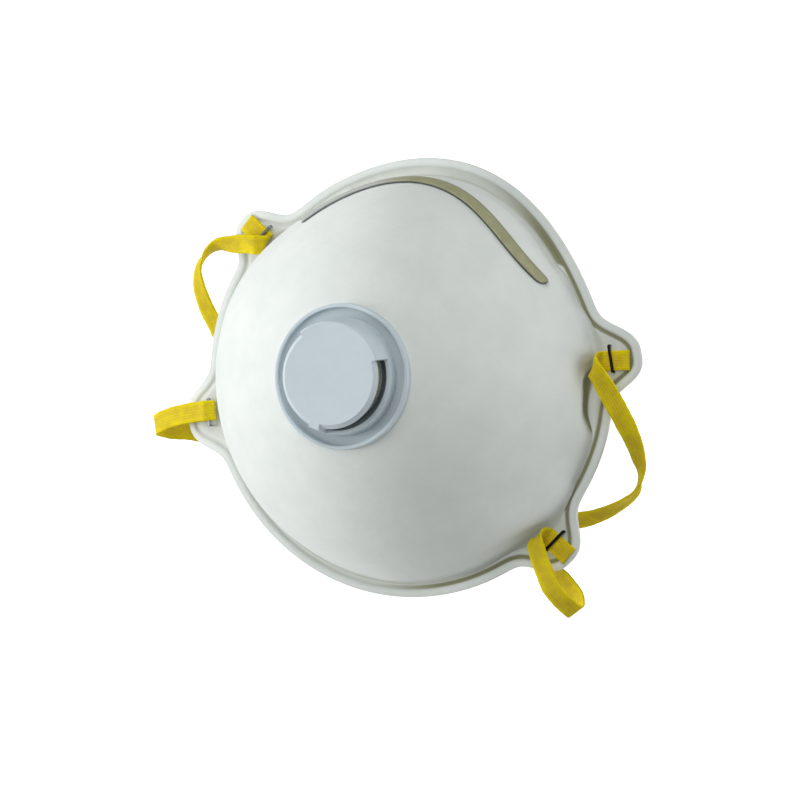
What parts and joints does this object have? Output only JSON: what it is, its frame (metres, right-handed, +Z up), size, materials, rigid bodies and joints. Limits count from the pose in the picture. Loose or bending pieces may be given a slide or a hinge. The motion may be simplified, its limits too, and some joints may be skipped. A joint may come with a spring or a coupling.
{
  "type": "disposable dust mask",
  "caption": "Moulded cup dust mask with a bendable nose clip, a flap exhalation valve and elastic head straps stapled to ears on its rim.",
  "frame": {"origin": "centre of the rim's back face, which seals on the face, on the exhalation valve's axis", "axes": "+Z up towards the nose as worn, -Y out of the cup through the valve, +X to the right of someone who looks at the front"},
  "size_m": [0.1695, 0.0909, 0.138],
  "materials": {
    "cover_felt": "matte",
    "filter_felt": "matte",
    "shell_felt": "matte",
    "clip_aluminium": "satin",
    "foam": "matte",
    "valve_plastic": "satin",
    "flap_rubber": "matte",
    "staple_dark": "satin",
    "staple_bright": "satin",
    "strap_elastic": "matte"
  },
  "bodies": {
    "mask": {"outer_cover": "cover_felt", "filter_layer": "filter_felt", "inner_shell": "shell_felt", "nose_clip": "clip_aluminium", "nose_foam": "foam", "valve_seat": "valve_plastic", "valve_cover": "valve_plastic", "valve_clamp_ring": "valve_plastic", "valve_flap_root": "flap_rubber", "staple_upper_right": "staple_dark", "staple_lower_right": "staple_dark", "staple_upper_left": "staple_bright", "staple_lower_left": "staple_bright", "upper_strap_right_end": "strap_elastic", "upper_strap_left_end": "strap_elastic", "upper_strap_bends": "strap_elastic", "lower_strap_right_end": "strap_elastic", "lower_strap_left_end": "strap_elastic", "lower_strap_bends": "strap_elastic"},
    "flap": {"valve_flap": "flap_rubber"},
    "upper_strap": {"upper_strap_loop": "strap_elastic"},
    "lower_strap": {"lower_strap_loop": "strap_elastic"}
  },
  "joints": [
    {"name": "flap_hinge", "type": "hinge", "parent": "mask", "child": "flap", "pos_m": [0, -0.05418, 0.0092], "axis": [-1, 0, 0], "range_deg": [0, 15], "stiffness_Nm_per_rad": 0.001, "springref_deg": -4.01},
    {"name": "upper_strap_swing", "type": "hinge", "parent": "mask", "child": "upper_strap", "pos_m": [0.0015, -0.0007, 0.01125], "axis": [0.9956, 0.0091, -0.0933], "range_deg": [-12, 110], "stiffness_Nm_per_rad": 0.005, "springref_deg": 0.57, "deforming": ["upper_strap_bends"]},
    {"name": "lower_strap_swing", "type": "hinge", "parent": "mask", "child": "lower_strap", "pos_m": [-0.00235, 0.0005, -0.04505], "axis": [0.9967, 0.015, -0.0796], "range_deg": [-40, 6], "stiffness_Nm_per_rad": 0.005, "springref_deg": 0.57, "deforming": ["lower_strap_bends"]}
  ]
}
